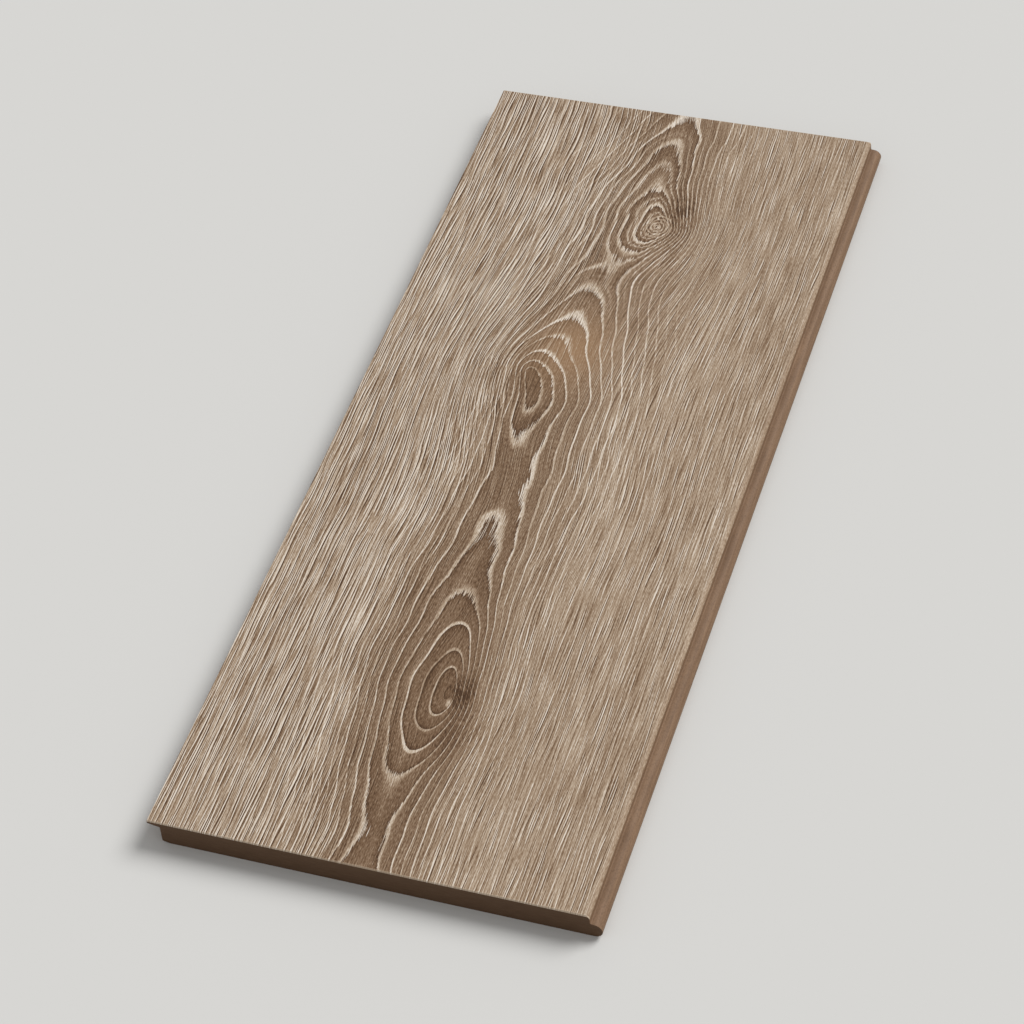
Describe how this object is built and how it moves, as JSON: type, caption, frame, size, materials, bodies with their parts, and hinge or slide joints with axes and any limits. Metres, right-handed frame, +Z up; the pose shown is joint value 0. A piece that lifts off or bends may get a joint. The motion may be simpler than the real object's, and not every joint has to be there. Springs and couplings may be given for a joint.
{
  "type": "vinyl floor plank",
  "caption": "Rigid vinyl floor plank with an embossed wood-grain face, a thin overhanging lip on one long edge and a rounded tongue on the other.",
  "frame": {"origin": "bottom centre of the plank's box, on the floor it lies on", "axes": "+Y along the plank's length, +X across it towards the tongue, +Z up through the printed face"},
  "size_m": [0.1232, 0.3, 0.008],
  "materials": {
    "wood_grain_vinyl": "embossed limed wood print, satin, on a brown core"
  },
  "bodies": {
    "root": {"plank": "wood_grain_vinyl"}
  },
  "joints": []
}
